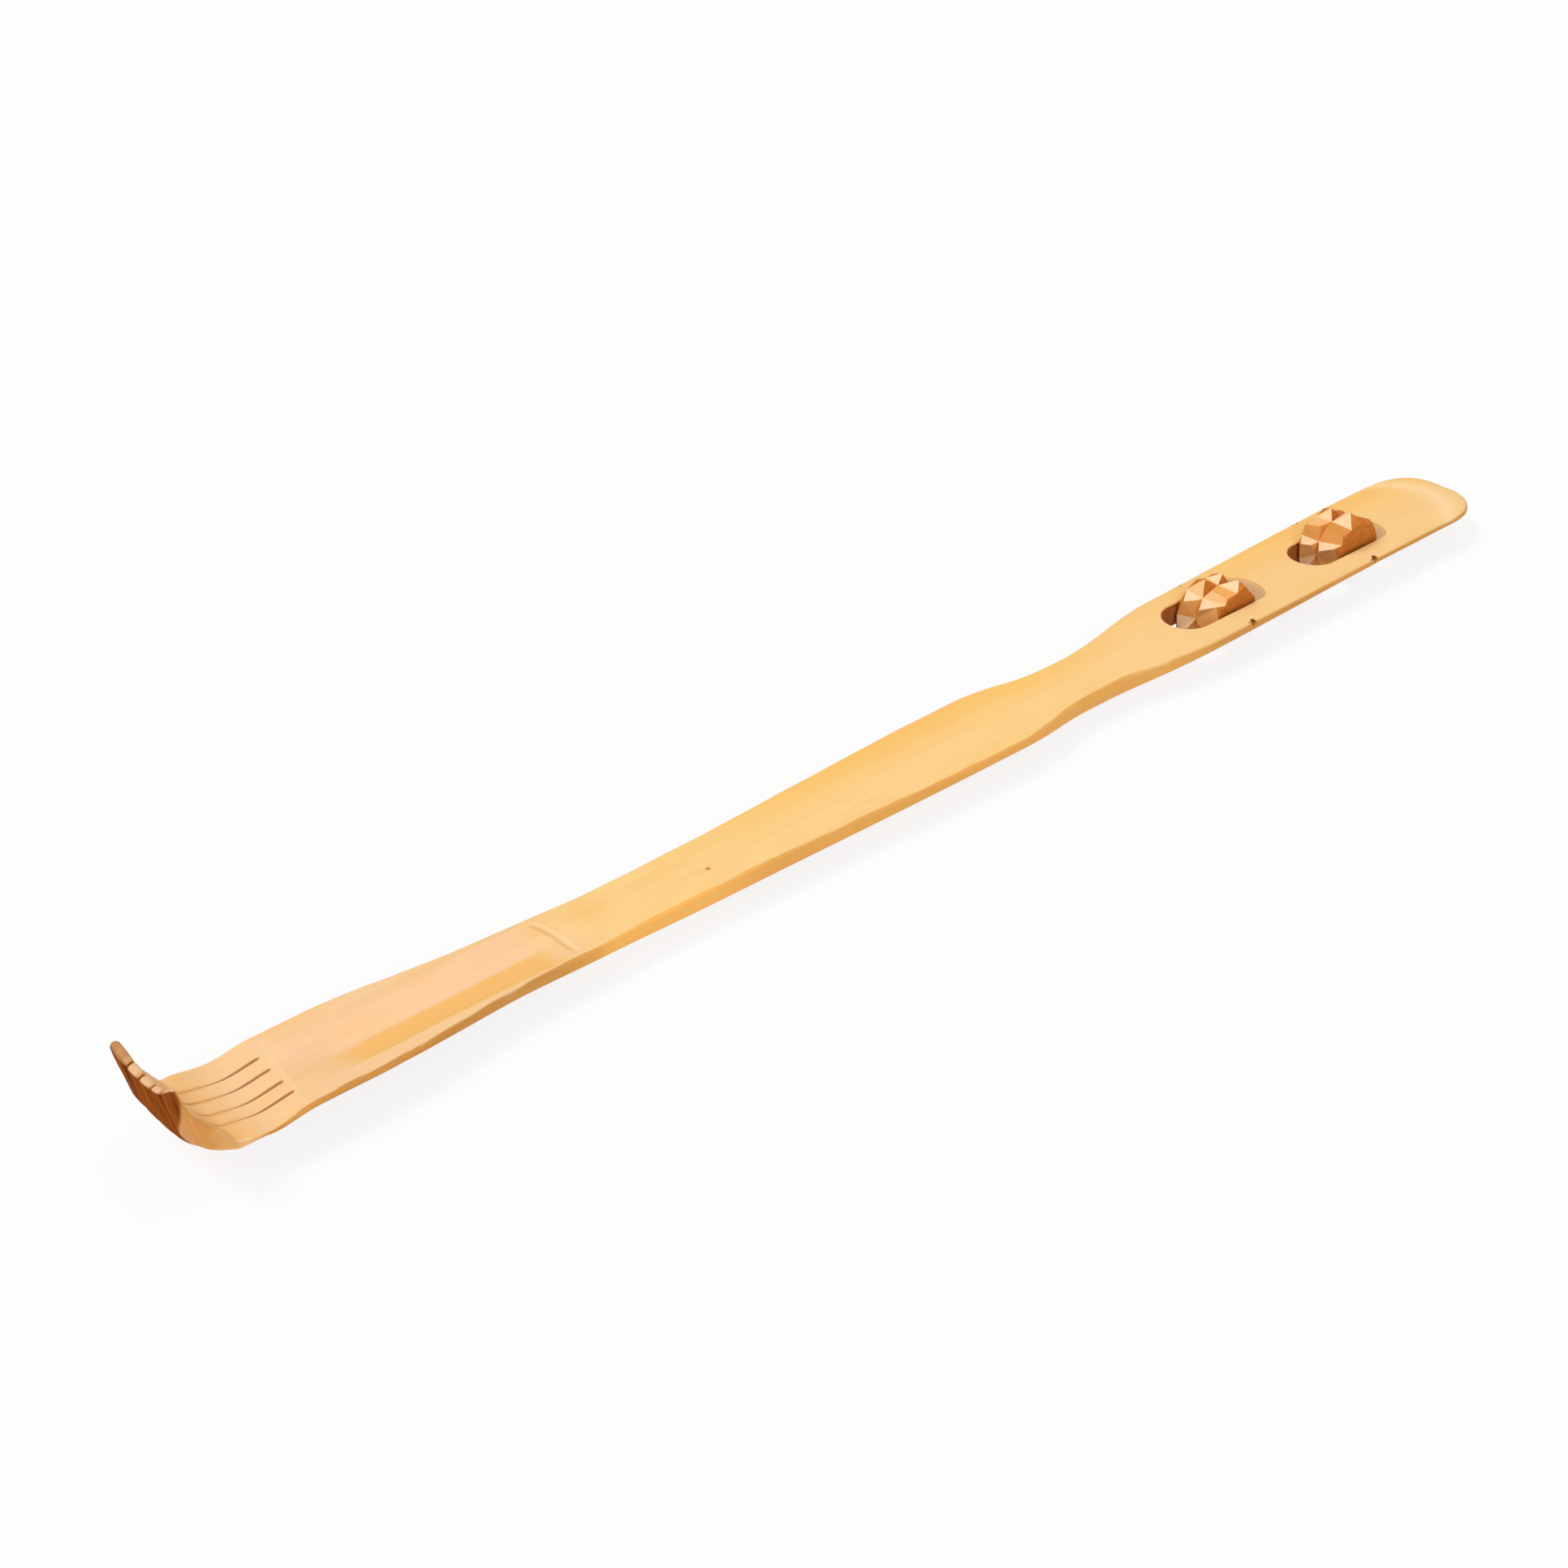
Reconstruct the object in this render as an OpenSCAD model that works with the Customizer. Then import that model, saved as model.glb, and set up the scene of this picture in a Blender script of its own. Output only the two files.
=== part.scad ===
// Bamboo back scratcher: one bent and carved strip, two toothed rollers, two axle pins.

/* [Strip] */
// outside radius of the bamboo stem the strip was split from
stem_radius = 25; // [21:0.5:40]
// thickness at the middle of the shaft and the paddle, from the rim plane down to the skin
strip_thickness = 8.3; // [7:0.1:12]
// thickness at the middle of the palm, from the rim plane down to the skin
palm_thickness = 6.3; // [5.6:0.1:10]
// least thickness left along the long edges
edge_thickness = 1.4; // [1.2:0.1:3]
// rounding of the long edges
edge_round = 0.8; // [0.3:0.1:1.2]
// how far the flat of the shaft lies under the rim plane
flat_drop = 1.1; // [0.2:0.1:2]

/* [Plan] */
// width across the palm and the fingers
palm_width = 31.2; // [26:0.2:38]
// width of the waist behind the node
waist_width = 20.5; // [16:0.1:24]
// width of the shaft just before the neck
shoulder_width = 28.6; // [24:0.2:32]
// width of the neck
neck_width = 19.8; // [16:0.1:23]
// greatest width of the paddle
paddle_width = 33.4; // [28:0.2:40]
// distance from the slit ends to the waist
waist_at = 105; // [95:1:120]
// distance from the slit ends to the shoulder
shoulder_at = 228; // [210:1:235]
// distance from the slit ends to the neck
neck_at = 263; // [255:1:270]
// distance from the slit ends to the tip of the paddle
tip_at = 440.3; // [425:0.1:470]
// length of the rounded end of the paddle
end_length = 21; // [14:1:32]
// thickness of the paddle at its tip
tip_thickness = 3.4; // [2.6:0.1:6]
// how far the middle of the paddle's top rises over the rim plane
paddle_rise = 0.7; // [0.5:0.1:1.5]
// how far the paddle's top falls away at its edges
paddle_crown = 1.6; // [0:0.1:2]
// how far the paddle's outline runs to one side toward its end
paddle_sweep = 2.4; // [0:0.1:3]

/* [Trough] */
// width of the hollow between the rims
trough_width = 20; // [16:0.2:25]
// depth of the hollow behind the palm
trough_depth = 2.4; // [1:0.1:4]
// distance from the slit ends to the node
node_at = 80; // [74:1:86]
// height of the ridge left at the node
node_height = 0.3; // [0:0.1:1]

/* [Claw] */
// distance from the slit ends to the start of the bend
palm_length = 17.6; // [12:0.5:26]
// radius inside the bend
bend_radius = 7.2; // [6:0.1:14]
// angle of the bend
bend_angle = 75; // [64:1:88]
// straight length of the outer fingers beyond the bend
finger_length = 15.8; // [12:0.1:22]
// how much shorter the middle of the row of fingers is
tip_scoop = 4.6; // [0:0.1:7]
// thickness of the fingers at their root
finger_root = 4.3; // [3:0.1:6]
// thickness of the fingers at their tips
finger_tip = 2.8; // [1.5:0.1:4]
// how far the palm dips under the rim plane before the bend
palm_dip = 1.2; // [0:0.1:2]
// depth of the hollow across the palm and the fingers
palm_hollow = 0.7; // [0:0.1:1.5]
// rise of the near side of the claw over its middle
claw_skew = 2; // [0:0.1:3]
// width of the saw slits
slit_width = 0.8; // [0.5:0.1:1.5]
// spacing of the saw slits
slit_spacing = 5.1; // [4:0.1:6]

/* [Rollers] */
// diameter of the rollers over the teeth
roller_d = 20.6; // [18:0.2:26]
// length of the rollers
roller_length = 13.2; // [9:0.2:15]
// depth of the cuts between the teeth
tooth_depth = 2.2; // [1.2:0.1:3.5]
// depth of the groove between the two rings of teeth
groove_depth = 2.4; // [1:0.1:3.5]
// width of the flat left on each tooth
tooth_land = 1; // [0.6:0.1:2]
// number of teeth in a ring
teeth = 8; // [6:1:10]
// turn of the inner roller
inner_turn = 26; // [0:1:45]
// turn of the outer roller
outer_turn = 0; // [0:1:45]
// distance between the roller axles
roller_spacing = 58.3; // [54:0.1:66]
// distance from the outer axle to the tip of the paddle
axle_to_tip = 56.6; // [48:0.1:70]
// depth of the axles under the rim plane
axle_drop = 1.2; // [0.9:0.1:2]
// how far the middles of the slots lie toward the claw from the axles
slot_shift = 1; // [0:0.1:2]
// gap between a roller and the end of its slot
slot_end_gap = 9.7; // [2:0.1:12]
// gap between a roller and the side of its slot
slot_side_gap = 1; // [0.4:0.1:3]
// diameter of the axle pins
pin_d = 2; // [1.6:0.1:2.4]
// how far the pin ends stay inside the edges of the paddle
pin_inset = 1.6; // [1.4:0.1:3]
// gap all round between a pin and its roller
running_gap = 0.06; // [0.03:0.01:0.1]

/* [Hidden] */
$fn = 48;
outer_axle = tip_at - axle_to_tip;
inner_axle = outer_axle - roller_spacing;
slot_length = roller_d + 2 * slot_end_gap;
slot_width = roller_length + 2 * slot_side_gap;
paddle_from = neck_at + 49;
flat_from = node_at + 8;
flat_to = neck_at + 3;

function mix(a, b, t) = a + (b - a) * t;
function ease(t) = let (c = max(0, min(1, t))) c * c * (3 - 2 * c);
function span(x, a, b) = ease((x - a) / (b - a));

// half of the plan width
function palm_to_waist(x) =
    mix(mix(palm_width, waist_width + 1.6, span(x, 16, node_at - 14)), waist_width,
        span(x, node_at - 4, waist_at - 6)) / 2;
function waist_to_shoulder(x) = mix(waist_width, shoulder_width, span(x, waist_at, shoulder_at)) / 2;
function shoulder_to_neck(x) = mix(shoulder_width, neck_width, span(x, shoulder_at + 2, neck_at - 4)) / 2;
function neck_to_paddle(x) =
    mix(mix(neck_width, paddle_width - 2.6, span(x, neck_at + 4, paddle_from)), paddle_width,
        max(0, (x - paddle_from) / (tip_at - 40 - paddle_from))) / 2;
function paddle_half(x) = min(paddle_width / 2, neck_to_paddle(x));
function end_part(x) = max(0, min(1, (x - (tip_at - end_length)) / end_length));
function half(x) =
    x < waist_at ? palm_to_waist(x)
    : x < shoulder_at ? waist_to_shoulder(x)
    : x < neck_at ? shoulder_to_neck(x)
    : paddle_half(x) * pow(1 - pow(end_part(x), 2.8), 1 / 2.8);

// how far the outline lies to one side of the line of the axles' middles
function sweep(x) = paddle_sweep * span(x, neck_at + 17, tip_at - 20);

// height of the top over the rim plane
function rim(x) =
    -palm_dip * span(-x, -2, 9)
    - flat_drop * span(x, node_at - 25, flat_from)
    + (flat_drop + paddle_rise) * span(x, flat_to, paddle_from) - paddle_rise * end_part(x);
function hollow(x) =
    x < 22 ? mix(palm_hollow, trough_depth, span(x, 1, 20))
    : trough_depth * (1 - span(x, node_at - 22, flat_from));
function hollow_width(x) = mix(palm_width, trough_width, span(x, 0, 8));
function crown(x) = paddle_crown * span(x, flat_to, paddle_from);
function ridge(x) = x > flat_from ? 0 : node_height * exp(-pow((x - node_at) / 1.6, 2));
function top(x, y, h) =
    rim(x) + ridge(x) - hollow(x) * max(0, 1 - pow(2 * y / hollow_width(x), 2))
    - crown(x) * pow(y / max(h, 1), 6);

// height of the underside
function middle(x) =
    mix(mix(palm_thickness, strip_thickness, span(x, node_at - 25, waist_at + 20)), tip_thickness,
        span(x, tip_at - 60, tip_at));
function skin(y) = stem_radius - sqrt(pow(stem_radius, 2) - y * y);
function under(x, y, h) = min(skin(y) - middle(x), top(x, h, h) - edge_thickness);

// across one section: positions as parts of the half width, with the rounded edges
function across(h, r) = let (q = h - r) concat(
    [for (a = [90, 60, 30]) [-q - r * sin(a), r * (1 - cos(a))]],
    [for (k = [0 : 8]) [q * (k / 4 - 1), 0]],
    [for (a = [30, 60, 90]) [q + r * sin(a), r * (1 - cos(a))]]);
COUNT = 15;

// one section of the straight strip as a closed ring
function strip_ring(x) =
    let (h = half(x))
    let (wall = top(x, h, h) - under(x, h, h))
    let (r = min(edge_round, 0.4 * wall, 0.4 * h))
    let (c = across(h, r))
    let (s = sweep(x))
    concat([for (p = c) [x, p[0] + s, top(x, p[0], h) - p[1]]],
        [for (i = [COUNT - 1 : -1 : 0]) [x, c[i][0] + s, under(x, c[i][0], h) + c[i][1]]]);

// the claw: a section turned about the bend and then carried up the fingers
function claw_top(y, h) = -palm_hollow * (1 - pow(y / h, 2));
function claw_place(y, n, turn, out) =
    let (lift = -claw_skew * y / (palm_width / 2) * ease(turn / 50))
    [-palm_length - (bend_radius - n) * sin(turn) - out * cos(turn), y,
     bend_radius - palm_dip - (bend_radius - n) * cos(turn) + out * sin(turn) + lift];
function finger_out(y, h, reach) = reach * (finger_length - tip_scoop * (1 - pow(y / h, 2)));
function finger_thick(reach) = mix(finger_root, finger_tip, pow(reach, 1.3));
function claw_under(y, h, turn, reach) =
    let (late = 0.7 * pow(y / h, 2))
    let (part = ease((turn / bend_angle - late) / (1 - late)))
    mix(under(-palm_length, y, h) + palm_dip, claw_top(y, h) - finger_thick(reach), part);
function claw_ring(turn, reach) =
    let (h = palm_width / 2)
    let (r = min(edge_round, 0.4 * edge_thickness))
    let (c = across(h, r))
    concat([for (p = c) claw_place(p[0], claw_top(p[0], h) - p[1], turn, finger_out(p[0], h, reach))],
        [for (i = [COUNT - 1 : -1 : 0])
            let (y = c[i][0])
            claw_place(y, claw_under(y, h, turn, reach) + c[i][1], turn, finger_out(y, h, reach))]);

// where the sections stand, from the finger tips to the paddle's tip
BEND_STEPS = 8;
FINGER_STEPS = 3;
STATIONS = concat(
    [for (k = [0 : 3]) -palm_length * (1 - (k + 0.5) / 4)],
    [1, 3.5, 6, 9],
    [for (k = [1 : 10]) mix(9, node_at - 6, k / 10)],
    [for (k = [-1.5 : 1.5 : 4.5]) node_at + k],
    [flat_from],
    [for (k = [1 : 12]) mix(flat_from, shoulder_at, k / 12)],
    [for (k = [1 : 9]) mix(shoulder_at, neck_at, k / 9)],
    [flat_to],
    [for (k = [1 : 11]) mix(flat_to, paddle_from, k / 11)],
    [for (k = [1 : 8]) mix(paddle_from, tip_at - end_length, k / 8)],
    [for (a = [15 : 15 : 75]) tip_at - end_length * (1 - sin(a))],
    [tip_at - end_length * (1 - sin(83)), tip_at - end_length * (1 - sin(88))]);
RINGS = concat(
    [for (k = [FINGER_STEPS : -1 : 1]) claw_ring(bend_angle, k / FINGER_STEPS)],
    [for (k = [BEND_STEPS : -1 : 0]) claw_ring(bend_angle * k / BEND_STEPS, 0)],
    [for (x = STATIONS) strip_ring(x)]);
LOOP = 2 * COUNT;
LAST = len(RINGS) - 1;
RING_POINTS = [for (ring = RINGS) each ring];

// a roller's outline seen along its axle
function tooth_ring(turn) =
    let (land = asin(tooth_land / roller_d))
    [for (k = [0 : teeth - 1])
        each let (a = 90 + turn + k * 360 / teeth)
            [[roller_d / 2 * cos(a - land), roller_d / 2 * sin(a - land)],
             [roller_d / 2 * cos(a + land), roller_d / 2 * sin(a + land)],
             [(roller_d / 2 - tooth_depth) * cos(a + 180 / teeth),
              (roller_d / 2 - tooth_depth) * sin(a + 180 / teeth)]]];
lowest_tooth = min([for (t = [inner_turn, outer_turn]) each [for (p = tooth_ring(t)) p[1]]]) - axle_drop;

// the whole is moved so that its box stands on the ground plane, centred
back_of_claw = min([for (p = RING_POINTS) p[0]]);
front_of_tip = max([for (p = RING_POINTS) p[0]]);
lowest_skin = min([for (p = RING_POINTS) p[2]]);
to_middle = -(back_of_claw + front_of_tip) / 2;
to_side = -(min([for (p = RING_POINTS) p[1]]) + max([for (p = RING_POINTS) p[1]])) / 2;
to_ground = -min(lowest_skin, lowest_tooth);

module placed() {
    translate([to_middle, to_side, to_ground]) children();
}

module strip_solid() {
    sides = [for (i = [0 : LAST - 1]) for (j = [0 : LOOP - 1])
        let (a = i * LOOP + j)
        let (b = i * LOOP + (j + 1) % LOOP)
        each [[a, b, b + LOOP], [a, b + LOOP, a + LOOP]]];
    near_cap = [for (j = [0 : COUNT - 2])
        let (k = LOOP - 1 - j)
        each [[j, k, k - 1], [j, k - 1, j + 1]]];
    far_cap = [for (j = [0 : COUNT - 2])
        let (a = LAST * LOOP + j)
        let (k = LAST * LOOP + LOOP - 1 - j)
        each [[a, k - 1, k], [a, a + 1, k - 1]]];
    polyhedron(points = RING_POINTS, faces = concat(sides, near_cap, far_cap), convexity = 8);
}

module slot_at(x) {
    translate([x - slot_shift, 0, -20]) linear_extrude(40) {
        square([slot_length - slot_width, slot_width], center = true);
        translate([(slot_length - slot_width) / 2, 0]) circle(d = slot_width);
        translate([-(slot_length - slot_width) / 2, 0]) circle(d = slot_width);
    }
}

module cross_bar(x, d, length) {
    translate([x, sweep(x) + length / 2, -axle_drop]) rotate([90, 0, 0]) cylinder(d = d, h = length);
}

module scratcher_body() {
    color([0.95, 0.79, 0.53]) placed() difference() {
        strip_solid();
        for (k = [-1.5 : 1 : 1.5])
            translate([-60, k * slit_spacing - slit_width / 2, -20]) cube([60, slit_width, 60]);
        slot_at(inner_axle);
        slot_at(outer_axle);
        cross_bar(inner_axle, pin_d, paddle_width + 4);
        cross_bar(outer_axle, pin_d, paddle_width + 4);
    }
}

module roller_at(x, turn) {
    placed() translate([x, 0, -axle_drop]) rotate([90, 0, 0]) difference() {
        intersection() {
            translate([0, 0, -roller_length / 2]) linear_extrude(roller_length) polygon(tooth_ring(turn));
            rotate_extrude() polygon([[0, -roller_length / 2], [roller_d / 2 + 0.5, -roller_length / 2],
                [roller_d / 2 - groove_depth, 0], [roller_d / 2 + 0.5, roller_length / 2],
                [0, roller_length / 2]]);
        }
        translate([0, 0, -roller_length]) cylinder(d = pin_d + 2 * running_gap, h = 2 * roller_length);
    }
}

module inner_roller() {
    color([0.85, 0.62, 0.38]) roller_at(inner_axle, inner_turn);
}

module outer_roller() {
    color([0.85, 0.62, 0.38]) roller_at(outer_axle, outer_turn);
}

module inner_pin() {
    color([0.55, 0.33, 0.16]) placed() cross_bar(inner_axle, pin_d, 2 * (half(inner_axle) - pin_inset));
}

module outer_pin() {
    color([0.55, 0.33, 0.16]) placed() cross_bar(outer_axle, pin_d, 2 * (half(outer_axle) - pin_inset));
}

scratcher_body();
inner_roller();
outer_roller();
inner_pin();
outer_pin();
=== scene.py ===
"""Bamboo back scratcher: the carved strip, two toothed rollers and their pins, seen as in the photograph."""

import math
from typing import NamedTuple

import bmesh
import bpy
import numpy as np
from mathutils import Matrix, Vector


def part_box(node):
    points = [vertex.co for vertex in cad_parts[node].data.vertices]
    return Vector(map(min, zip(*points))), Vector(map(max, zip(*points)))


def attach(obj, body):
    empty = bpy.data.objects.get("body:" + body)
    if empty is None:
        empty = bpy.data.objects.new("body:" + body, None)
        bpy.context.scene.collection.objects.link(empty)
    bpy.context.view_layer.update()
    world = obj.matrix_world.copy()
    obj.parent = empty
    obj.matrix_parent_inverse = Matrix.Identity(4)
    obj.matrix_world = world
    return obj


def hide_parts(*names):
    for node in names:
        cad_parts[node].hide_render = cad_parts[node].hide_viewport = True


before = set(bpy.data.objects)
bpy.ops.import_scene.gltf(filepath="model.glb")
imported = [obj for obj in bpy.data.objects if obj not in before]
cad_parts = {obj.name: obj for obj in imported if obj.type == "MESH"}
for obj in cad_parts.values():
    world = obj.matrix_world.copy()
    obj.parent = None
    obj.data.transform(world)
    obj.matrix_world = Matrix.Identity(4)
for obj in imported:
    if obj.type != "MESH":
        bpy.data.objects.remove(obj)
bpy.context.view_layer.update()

# Sizes of the part in millimetres, the same as in its source.
# x runs from the slit ends to the paddle, y across, z up from the plane of the rims.
stem_radius = 25
strip_thickness = 8.3
palm_thickness = 6.3
edge_thickness = 1.4
edge_round = 0.8
flat_drop = 1.1
palm_width = 31.2
waist_width = 20.5
shoulder_width = 28.6
neck_width = 19.8
paddle_width = 33.4
waist_at = 105
shoulder_at = 228
neck_at = 263
tip_at = 440.3
end_length = 21
tip_thickness = 3.4
paddle_rise = 0.7
paddle_crown = 1.6
paddle_sweep = 2.4
trough_width = 20
trough_depth = 2.4
node_at = 80
palm_length = 17.6
bend_radius = 7.2
bend_angle = math.radians(75)
finger_length = 15.8
tip_scoop = 4.6
finger_root = 4.3
finger_tip = 2.8
palm_dip = 1.2
palm_hollow = 0.7
claw_skew = 2
slit_spacing = 5.1
roller_d = 20.6
roller_length = 13.2
roller_spacing = 58.3
axle_to_tip = 56.6
axle_drop = 1.2
slot_shift = 1
slot_end_gap = 9.7
slot_side_gap = 1
pin_d = 2
pin_inset = 1.6
running_gap = 0.06
outer_axle = tip_at - axle_to_tip
inner_axle = outer_axle - roller_spacing
slot_length = roller_d + 2 * slot_end_gap
slot_width = roller_length + 2 * slot_side_gap
paddle_from = neck_at + 49
flat_from = node_at + 8
flat_to = neck_at + 3
axles = (inner_axle, outer_axle)

# Sizes in millimetres that only the scene has.
slit_steps = (-1.5, -0.55, 0.55, 1.55)
slit_offset = 0.3
slit_lines = [k * slit_spacing + slit_offset for k in slit_steps]
finger_edges = np.array([-palm_width / 2] + slit_lines + [palm_width / 2])
# how far a slot's flatter outer end stands out from its straight sides
slot_end = 5.4
# radius of the holes at the pin ends, and how far they run past the ends
hole_radius = 1.1
hole_overlap = 0.3
# rounding of the pin ends, and the gap between a pin and the strip
pin_ease = 0.15
seat_gap = 0.02
# rounding of the claw's long edges
claw_round = 0.7
# where the cut along the near edge runs out
cut_fades_from = 270
cut_fades_to = 300
# heights of the marks on the top
crease_height = 0.12
ridge_height = 0.13
scar_depth = 0.1
long_wave = 0.05
short_wave = 0.04
end_rise = 0.5
end_fall = 1.5
# how far the inside of the claw stands in at the bend, and how far the near fingers fall back from there
fillet = 2.5
near_fall_back = 3.4
# how much thinner the palm is along its near edge, and how much more so toward the bend
near_thinning = 0.5
bend_thinning = 0.4
# rounding of each finger's back and inside, and the hollow up the back of the claw
finger_crown = 0.35
finger_dip = 0.2
back_hollow = 0.7
# how much a finger's corners, the near finger and the far finger differ in length
corner_loss = 0.9
near_gain = 1.4
far_loss = 0.5

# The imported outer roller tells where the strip's own origin lies in the shared frame.
roller_low, roller_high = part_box("outer_roller")
origin = np.array((roller_low + roller_high) / 2 * 1000) - np.array([outer_axle, 0, -axle_drop])


def mix(a, b, t):
    """From a at 0 to b at 1."""
    return a + (b - a) * t


def ease(t):
    """A smooth step from 0 to 1."""
    c = np.clip(t, 0, 1)
    return c * c * (3 - 2 * c)


def span(x, a, b):
    """A smooth step that starts at a and ends at b."""
    return ease((x - a) / (b - a))


def hump(x, width):
    """A smooth bump that is 1 where x is 0."""
    return np.exp(-((x / width) ** 2))


def to_frame(points):
    """Strip millimetres to the shared frame's metres."""
    return (np.asarray(points, float) + origin) / 1000


# Plan and section of the strip.


END_POWER = 2.8


def end_part(x):
    """How far along the paddle's rounded end a place is, from 0 to 1."""
    return np.clip((x - (tip_at - end_length)) / end_length, 0, 1)


def half(x):
    """Half of the plan width."""
    first = mix(palm_width, waist_width + 1.6, span(x, 16, node_at - 14))
    palm = mix(first, waist_width, span(x, node_at - 4, waist_at - 6)) / 2
    shaft = mix(waist_width, shoulder_width, span(x, waist_at, shoulder_at)) / 2
    neck = mix(shoulder_width, neck_width, span(x, shoulder_at + 2, neck_at - 4)) / 2
    opening = mix(neck_width, paddle_width - 2.6, span(x, neck_at + 4, paddle_from))
    growth = np.maximum(0, (x - paddle_from) / (tip_at - 40 - paddle_from))
    paddle = np.minimum(paddle_width, mix(opening, paddle_width, growth)) / 2
    rounded = paddle * (1 - end_part(x) ** END_POWER) ** (1 / END_POWER)
    last = np.where(x < neck_at, neck, rounded)
    return np.where(x < waist_at, palm, np.where(x < shoulder_at, shaft, last))


def sweep(x):
    """How far the outline lies to one side."""
    return paddle_sweep * span(x, neck_at + 17, tip_at - 20)


def rim(x):
    """Height of the rims."""
    fall = -palm_dip * span(-x, -2, 9) - flat_drop * span(x, node_at - 25, flat_from)
    return fall + (flat_drop + paddle_rise) * span(x, flat_to, paddle_from) - paddle_rise * end_part(x)


def hollow(x):
    """Depth of the hollow between the rims."""
    start = mix(palm_hollow, trough_depth, span(x, 1, 20))
    return np.where(x < 22, start, trough_depth * (1 - span(x, node_at - 22, flat_from)))


def crease_at(y):
    """Where the trough starts behind the slits, a line that runs a little aslant."""
    return 2.1 + 0.11 * y


def scar_at(y):
    """The line of the node, bowed toward the claw on the far side."""
    return node_at - 0.9 - 0.028 * np.maximum(y, 0) ** 2


def top(x, y, h):
    """Height of the top where the strip's half width is h."""
    width = mix(palm_width, trough_width, span(x, 0, 8))
    dip = hollow(x) * np.maximum(0, 1 - (2 * y / width) ** 2)
    crown = paddle_crown * span(x, flat_to, paddle_from) * (y / np.maximum(h, 1)) ** 6
    return rim(x) - dip - crown


def carved(x, y, h):
    """The top with the small marks of the carving on it."""
    inward = 1 - (y / h) ** 4
    crease = crease_height * hump(x - crease_at(y), 0.9) * inward
    ridge = ridge_height * hump(x - scar_at(y) - 1.3, 0.8) - scar_depth * hump(x - scar_at(y), 0.5)
    scar = ridge * span(-np.abs(y - 0.6), -9.6, -7.2)
    wave = long_wave * np.sin(x / 7.3 + 0.4 * y) + short_wave * np.sin(x / 3.1 - 0.7 * y + 1)
    wave = wave * span(x, 10, 40) * (1 - span(x, 290, 310))
    rise = claw_fillet((-palm_length - x) / bend_length)
    end = end_rise * end_part(x) - end_fall * end_part(x) ** 8 * inward
    return top(x, y, h) + crease + scar + rise + end + wave


def near_cut(x):
    """Width of the slanting cut along the near edge of the top, uneven as a knife leaves it."""
    width = 0.75 + 0.85 * span(x, -12, 4) * (1 - span(x, 20, 40))
    width = width - 0.5 * span(x, 30, 48) * (1 - span(x, 60, 76))
    width = width + 0.14 * np.sin(x / 5.3) + 0.1 * np.sin(x / 2.1 + 2)
    least = 0.01
    return width * span(x, -18, -6) * (1 - span(x, cut_fades_from, cut_fades_to)) + least


def under(x, y, h):
    """Height of the underside."""
    thick = mix(palm_thickness, strip_thickness, span(x, node_at - 25, waist_at + 20))
    thick = mix(thick, tip_thickness, span(x, tip_at - 60, tip_at))
    skin = stem_radius - np.sqrt(stem_radius**2 - y * y)
    return np.minimum(skin - thick, top(x, h, h) - edge_thickness)


EDGE_STEPS = 6
MIDDLE_STEPS = 78
ACROSS = 2 * EDGE_STEPS + MIDDLE_STEPS + 1


def across(h, r):
    """Positions across a section, and how far the rounded edges take the surface in."""
    turn = np.linspace(math.pi / 2, 0, EDGE_STEPS, endpoint=False)
    flat = np.linspace(-1, 1, MIDDLE_STEPS + 1) * (h - r)
    y = np.concatenate([-(h - r) - r * np.sin(turn), flat, (h - r) + r * np.sin(turn[::-1])])
    drop = np.concatenate([r * (1 - np.cos(turn)), flat * 0, r * (1 - np.cos(turn[::-1]))])
    return y, drop


def strip_ring(x):
    """One section of the straight strip, its top from near to far and its underside back again."""
    x = np.float64(x)
    h = float(half(x))
    wall = float(top(x, h, h) - under(x, h, h))
    y, drop = across(h, min(edge_round, 0.4 * wall, 0.4 * h))
    cut = float(near_cut(x))
    slope = min(0.8, (wall - 0.9) / cut)
    slant = slope * np.maximum(0, -y - h + cut)
    upper = np.stack([y * 0 + x, y + sweep(x), carved(x, y, h) - np.maximum(slant, drop)], 1)
    lower = np.stack([y * 0 + x, y + sweep(x), under(x, y, h) + near_lift(x, y / h) + drop], 1)
    return np.concatenate([upper, lower[::-1]])


# The claw: a section turned about the bend and carried up the fingers.
CLAW_HALF = palm_width / 2
bend_length = bend_angle * bend_radius


def claw_fillet(s, part=0.0):
    """How far the inside of the claw stands in.

    s is 0 where the bend starts, 1 at its end and 2 at the finger tips.
    """
    fall_back = mix(near_fall_back, fillet, span(part, -0.7, 1))
    return fillet * span(s, -1, 0.7) - fall_back * span(s, 0.85, 1.6)


def near_lift(x, part):
    """The palm is thinner toward its near edge."""
    thinning = near_thinning + bend_thinning * span(-x, 2, 14)
    return thinning * span(-part, 0.3, 0.9) * (1 - span(x, 6, 34))


def in_finger(y):
    """Where a point lies across its own finger, from -1 to 1."""
    k = np.clip(np.searchsorted(finger_edges, y) - 1, 0, len(slit_lines))
    low = finger_edges[k]
    high = finger_edges[k + 1]
    return (2 * y - low - high) / (high - low)


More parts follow.
